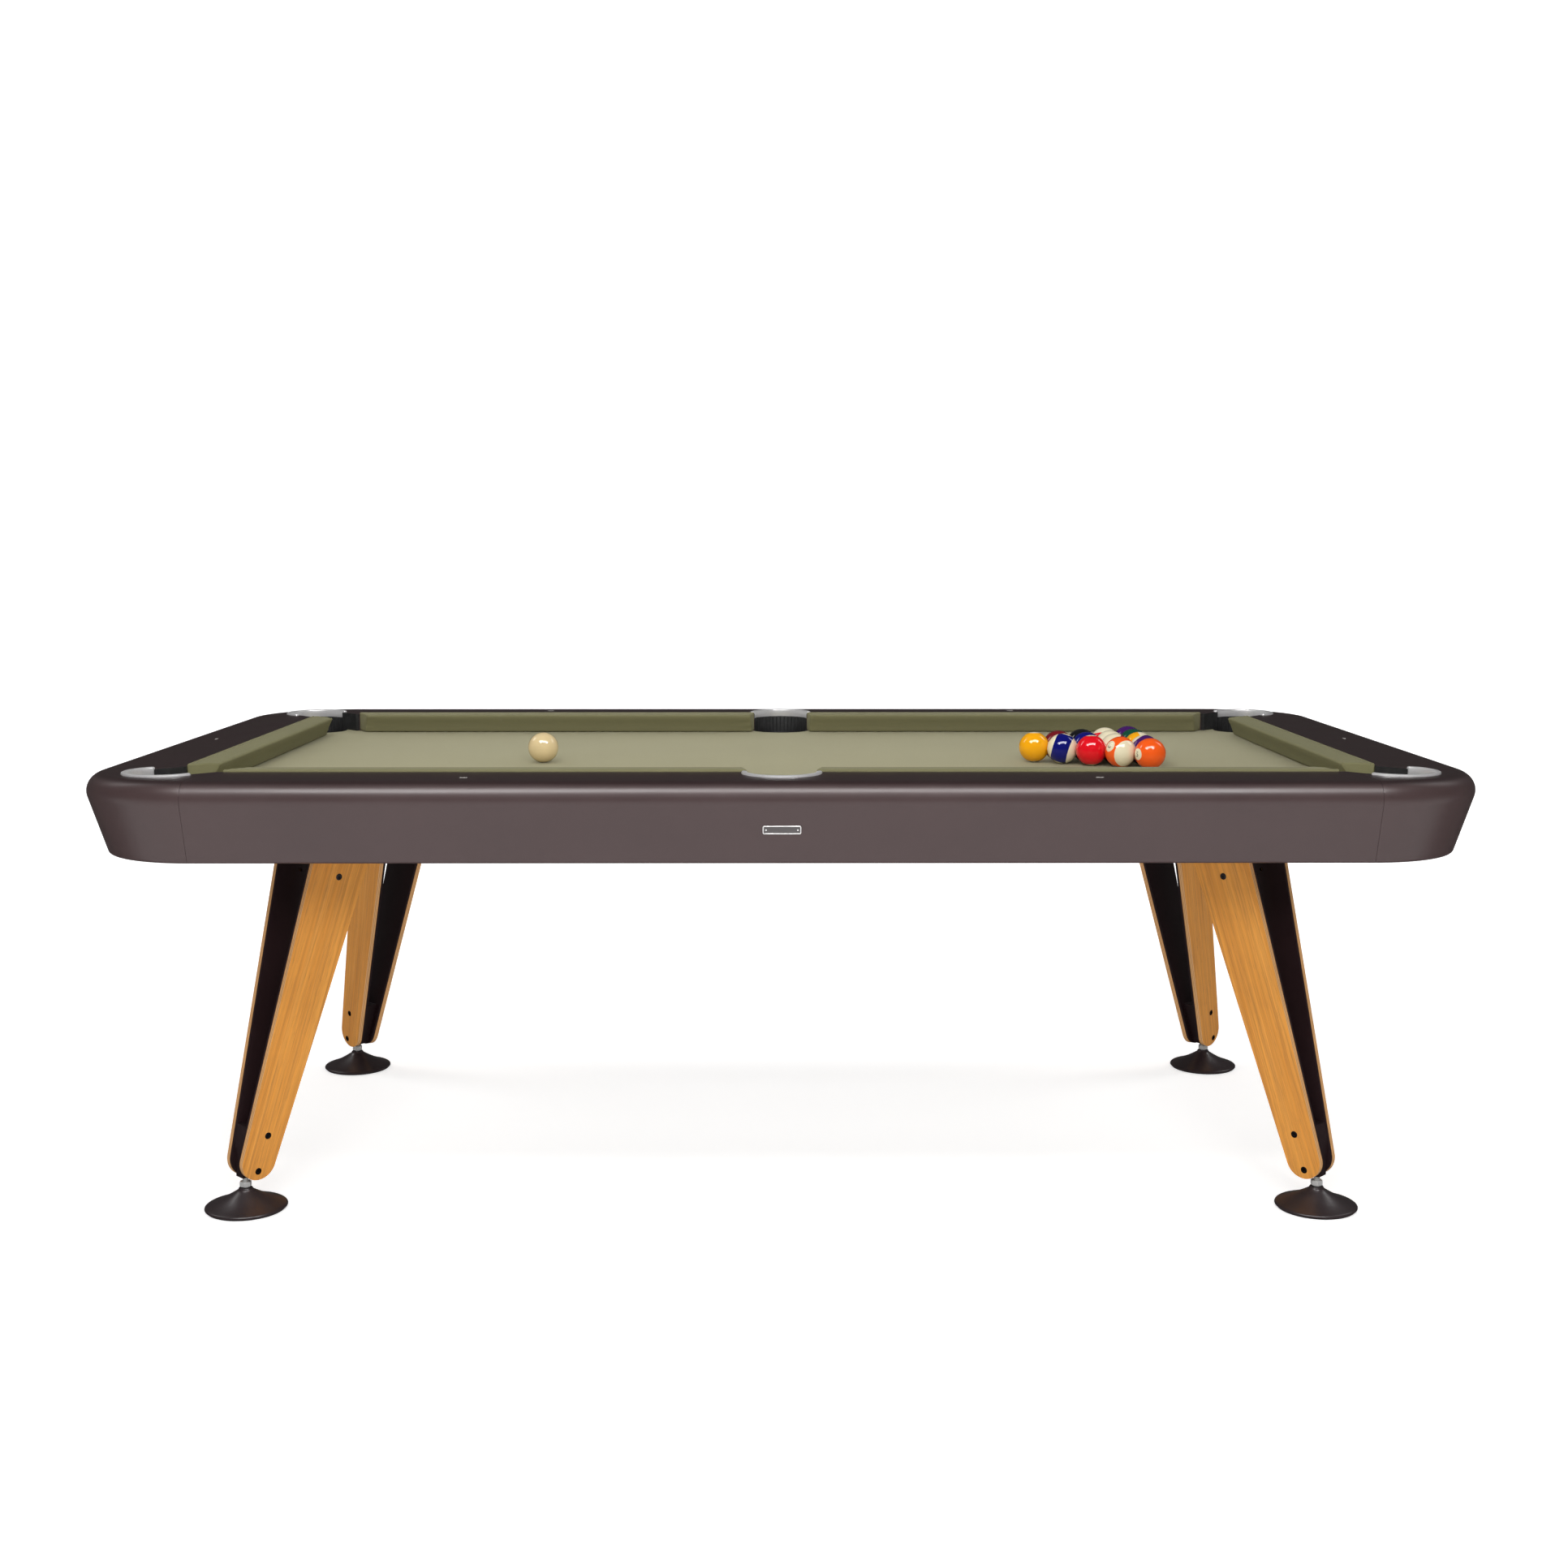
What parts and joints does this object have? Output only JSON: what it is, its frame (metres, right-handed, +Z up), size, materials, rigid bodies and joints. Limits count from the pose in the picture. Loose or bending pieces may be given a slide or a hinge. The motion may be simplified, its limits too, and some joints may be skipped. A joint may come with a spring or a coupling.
{
  "type": "home pool table",
  "caption": "Pool table with a rounded one-piece-look shell, khaki cloth, chrome-trimmed drop pockets and splayed paired wooden legs on levelling feet",
  "frame": {"origin": "On the floor, under the middle of the bed.", "axes": "+X along the table, +Y across it towards the back, +Z up."},
  "size_m": [2.33, 1.365, 0.8005],
  "materials": {
    "shell_paint": "satin taupe-brown lacquer over a moulded shell",
    "slate": "honed grey slate",
    "bed_cloth": "olive-khaki worsted billiard cloth",
    "cushion_cloth": "the same cloth stretched over rubber cushions",
    "pocket_liner": "black moulded rubber liner",
    "pocket_trim": "polished metal trim",
    "frame_wood": "plain softwood",
    "leg_steel": "dark brown satin powder coat",
    "leg_wood": "oiled golden-brown hardwood veneer",
    "stem_steel": "zinc-plated threaded stem",
    "foot_paint": "dark brown satin paint",
    "dark_screws": "blackened steel",
    "zinc_bolts": "zinc-plated steel",
    "plate_metal": "pale satin metal, blank",
    "sight_inlay": "pale inlay",
    "cue_ball": "polished ivory-white resin",
    "pool_balls": "polished coloured resin"
  },
  "bodies": {
    "table": {"front_panel": "shell_paint", "back_panel": "shell_paint", "left_panel": "shell_paint", "right_panel": "shell_paint", "corner_panel_front_left": "shell_paint", "corner_panel_front_right": "shell_paint", "corner_panel_back_left": "shell_paint", "corner_panel_back_right": "shell_paint", "slate_bed": "slate", "bed_cloth": "bed_cloth", "cushion_front_left": "cushion_cloth", "cushion_front_right": "cushion_cloth", "cushion_back_left": "cushion_cloth", "cushion_back_right": "cushion_cloth", "cushion_left_end": "cushion_cloth", "cushion_right_end": "cushion_cloth", "pocket_cup_front_left": "pocket_liner", "pocket_cup_front_right": "pocket_liner", "pocket_cup_back_left": "pocket_liner", "pocket_cup_back_right": "pocket_liner", "pocket_cup_front_side": "pocket_liner", "pocket_cup_back_side": "pocket_liner", "pocket_trim_front_left": "pocket_trim", "pocket_trim_front_right": "pocket_trim", "pocket_trim_back_left": "pocket_trim", "pocket_trim_back_right": "pocket_trim", "pocket_trim_front_side": "pocket_trim", "pocket_trim_back_side": "pocket_trim", "bearer_left": "frame_wood", "bearer_right": "frame_wood", "beam_front": "frame_wood", "beam_back": "frame_wood", "beam_middle": "frame_wood", "leg_bracket_front_left": "leg_steel", "leg_bracket_front_right": "leg_steel", "leg_bracket_back_left": "leg_steel", "leg_bracket_back_right": "leg_steel", "leg_board_inner_front_left": "leg_wood", "leg_board_inner_front_right": "leg_wood", "leg_board_inner_back_left": "leg_wood", "leg_board_inner_back_right": "leg_wood", "leg_board_outer_front_left": "leg_wood", "leg_board_outer_front_right": "leg_wood", "leg_board_outer_back_left": "leg_wood", "leg_board_outer_back_right": "leg_wood", "leg_screws": "dark_screws", "leg_flange_bolts": "zinc_bolts", "rail_bolts": "zinc_bolts", "nameplate": "plate_metal", "rail_sights": "sight_inlay"},
    "foot_front_left": {"foot_pad_front_left": "foot_paint"},
    "stem_front_left": {"foot_stem_front_left": "stem_steel"},
    "foot_front_right": {"foot_pad_front_right": "foot_paint"},
    "stem_front_right": {"foot_stem_front_right": "stem_steel"},
    "foot_back_left": {"foot_pad_back_left": "foot_paint"},
    "stem_back_left": {"foot_stem_back_left": "stem_steel"},
    "foot_back_right": {"foot_pad_back_right": "foot_paint"},
    "stem_back_right": {"foot_stem_back_right": "stem_steel"},
    "cue_ball": {"cue_ball": "cue_ball"},
    "rack": {"racked_balls": "pool_balls"}
  },
  "joints": [
    {"name": "foot_front_left_travel", "type": "slide", "parent": "table", "child": "foot_front_left", "axis": [0, 0, -1], "range_m": [0, 0.014]},
    {"name": "stem_front_left_turn", "type": "hinge", "parent": "foot_front_left", "child": "stem_front_left", "pos_m": [-0.939, -0.453, 0.04], "axis": [0, 0, -1], "range_deg": [0, 2880]},
    {"name": "foot_front_right_travel", "type": "slide", "parent": "table", "child": "foot_front_right", "axis": [0, 0, -1], "range_m": [0, 0.014]},
    {"name": "stem_front_right_turn", "type": "hinge", "parent": "foot_front_right", "child": "stem_front_right", "pos_m": [0.939, -0.453, 0.04], "axis": [0, 0, -1], "range_deg": [0, 2880]},
    {"name": "foot_back_left_travel", "type": "slide", "parent": "table", "child": "foot_back_left", "axis": [0, 0, -1], "range_m": [0, 0.014]},
    {"name": "stem_back_left_turn", "type": "hinge", "parent": "foot_back_left", "child": "stem_back_left", "pos_m": [-0.939, 0.453, 0.04], "axis": [0, 0, -1], "range_deg": [0, 2880]},
    {"name": "foot_back_right_travel", "type": "slide", "parent": "table", "child": "foot_back_right", "axis": [0, 0, -1], "range_m": [0, 0.014]},
    {"name": "stem_back_right_turn", "type": "hinge", "parent": "foot_back_right", "child": "stem_back_right", "pos_m": [0.939, 0.453, 0.04], "axis": [0, 0, -1], "range_deg": [0, 2880]},
    {"name": "cue_ball_lift", "type": "slide", "parent": "table", "child": "cue_ball", "axis": [0, 0, 1], "range_m": [0, 0.3]},
    {"name": "rack_lift", "type": "slide", "parent": "table", "child": "rack", "axis": [0, 0, 1], "range_m": [0, 0.3]}
  ],
  "couplings": [
    {"joint": "stem_front_left_turn", "follows": "foot_front_left_travel", "rad_per_m": 3590},
    {"joint": "stem_front_right_turn", "follows": "foot_front_right_travel", "rad_per_m": 3590},
    {"joint": "stem_back_left_turn", "follows": "foot_back_left_travel", "rad_per_m": 3590},
    {"joint": "stem_back_right_turn", "follows": "foot_back_right_travel", "rad_per_m": 3590}
  ]
}
